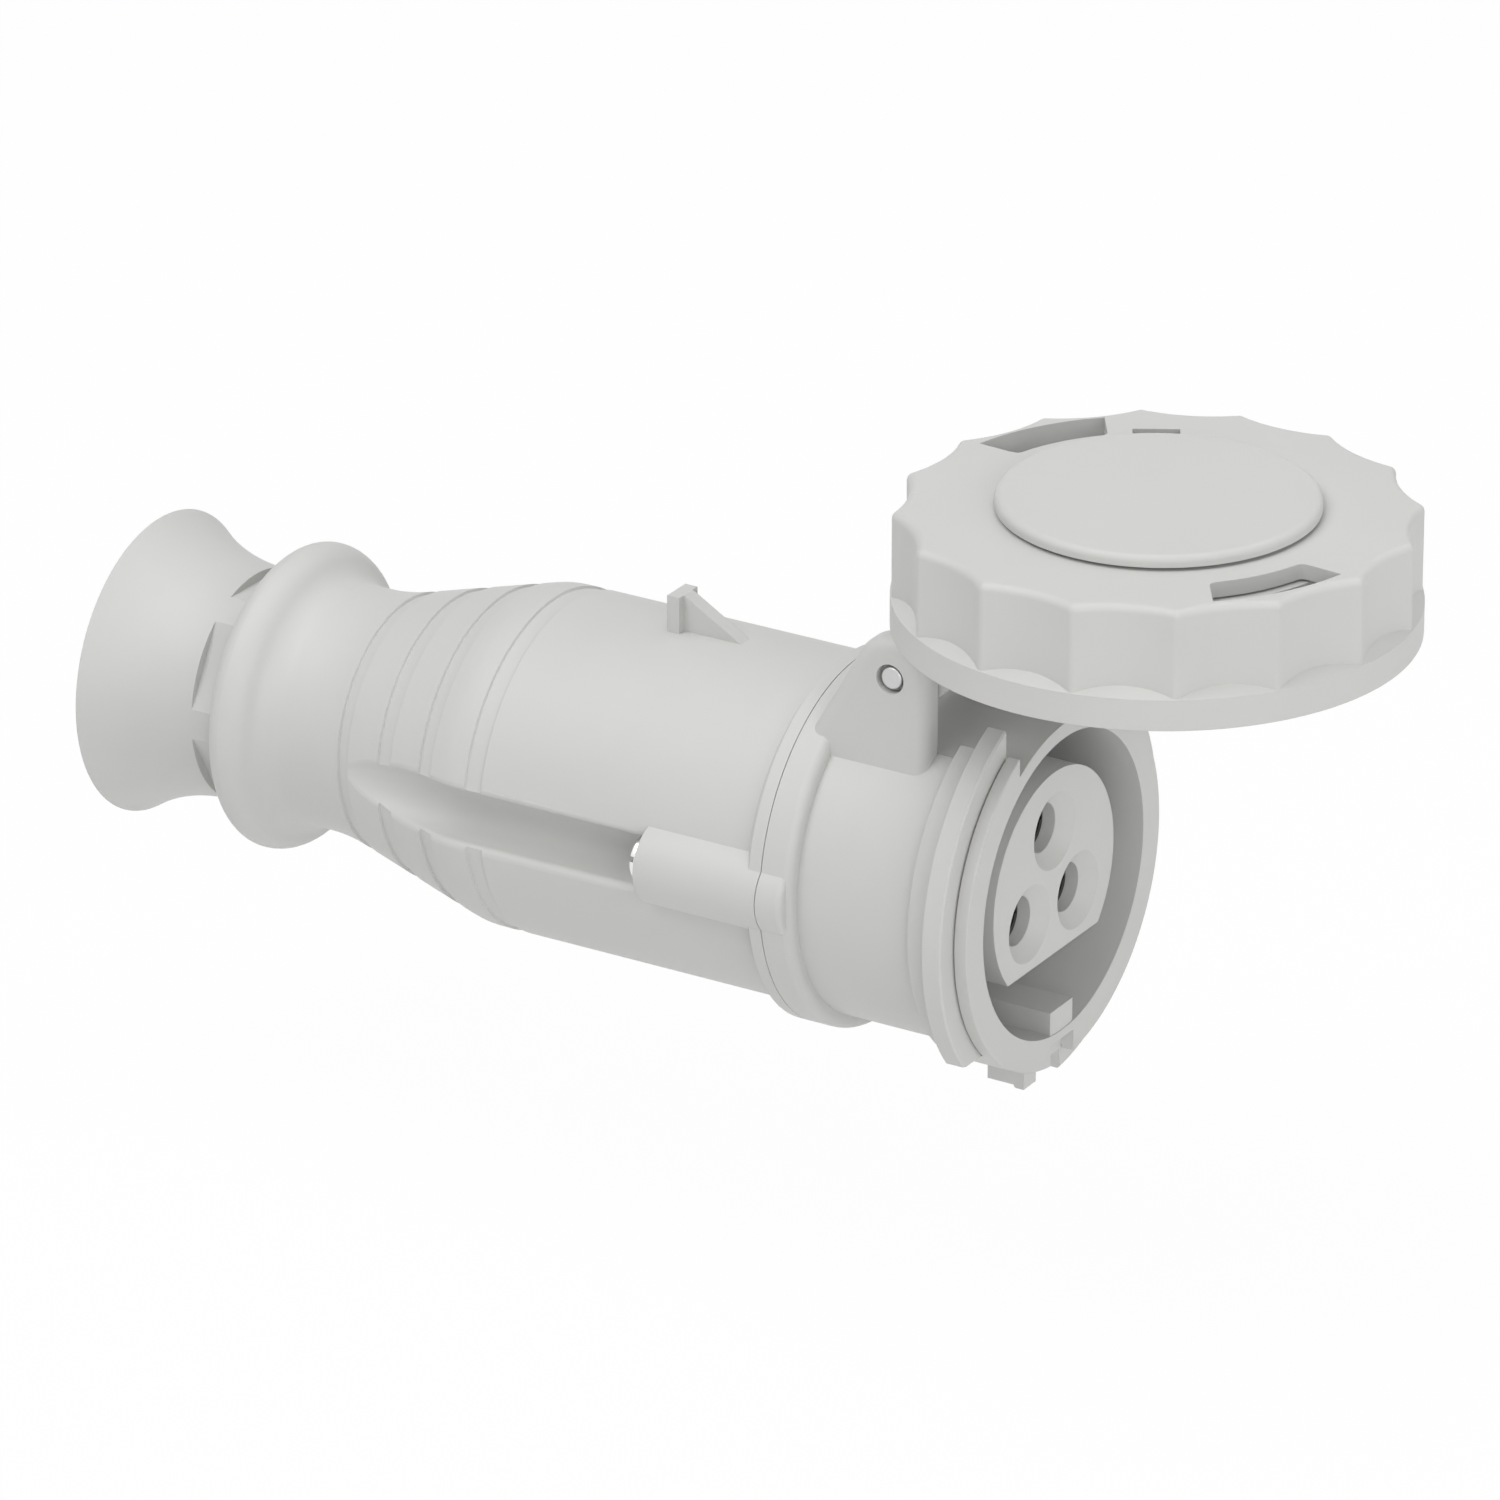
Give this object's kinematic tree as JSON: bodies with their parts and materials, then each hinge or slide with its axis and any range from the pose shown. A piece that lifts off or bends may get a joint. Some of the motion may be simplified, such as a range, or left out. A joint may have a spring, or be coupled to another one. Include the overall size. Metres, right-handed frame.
{
  "type": "industrial cable socket",
  "caption": "In-line cable socket with a keyed collar, a hinged sealing cap carrying a bayonet ring, and a flared cable gland nut at the rear.",
  "frame": {"origin": "centre of the mouth in the plane of its rim, on the body axis", "axes": "+X out of the mouth along the body axis, +Z towards the hinge and the open cap, +Y across to the side of the collar that carries the second arc of the bayonet flange"},
  "size_m": [0.2014, 0.073, 0.0919],
  "materials": {
    "housing": "matte moulded",
    "lid": "matte moulded",
    "gland": "matte moulded",
    "insert": "matte moulded",
    "seal_rubber": "soft matte",
    "contact_brass": "turned",
    "spring_steel": "drawn",
    "screw_steel": "plated",
    "pin_steel": "drawn"
  },
  "bodies": {
    "housing": {"front_housing": "housing", "rear_housing": "housing", "seam_gasket": "seal_rubber", "body_screws": "screw_steel", "contact_insert": "insert", "contact_sleeve_1": "contact_brass", "contact_sleeve_2": "contact_brass", "contact_sleeve_3": "contact_brass", "contact_spring_1": "spring_steel", "contact_spring_2": "spring_steel", "contact_spring_3": "spring_steel", "terminal_screws": "screw_steel", "contact_retainer": "insert", "retainer_screws": "screw_steel", "clamp_cage": "gland", "cable_seal": "seal_rubber", "hinge_pin": "pin_steel"},
    "cap": {"lid_cap": "lid", "lid_disc": "lid", "lid_gasket": "seal_rubber"},
    "ring": {"bayonet_ring": "lid"},
    "gland_thrust": {"thrust_washer": "gland"},
    "gland": {"gland_nut": "gland"}
  },
  "joints": [
    {"name": "lid_hinge", "type": "hinge", "parent": "housing", "child": "cap", "pos_m": [-0.01875, 0, 0.03275], "axis": [0, 1, 0], "range_deg": [-75, 90]},
    {"name": "ring_turn", "type": "hinge", "parent": "cap", "child": "ring", "pos_m": [0.014, 0, 0.058], "axis": [0, 0, -1], "range_deg": [0, 45]},
    {"name": "gland_slide", "type": "slide", "parent": "housing", "child": "gland_thrust", "axis": [-1, 0, 0], "range_m": [0, 0.00452]},
    {"name": "gland_turn", "type": "hinge", "parent": "gland_thrust", "child": "gland", "pos_m": [-0.125, 0, 0], "axis": [-1, 0, 0], "range_deg": [0, 1080]}
  ],
  "couplings": [
    {"joint": "gland_slide", "follows": "gland_turn", "m_per_rad": 0.00023873}
  ]
}
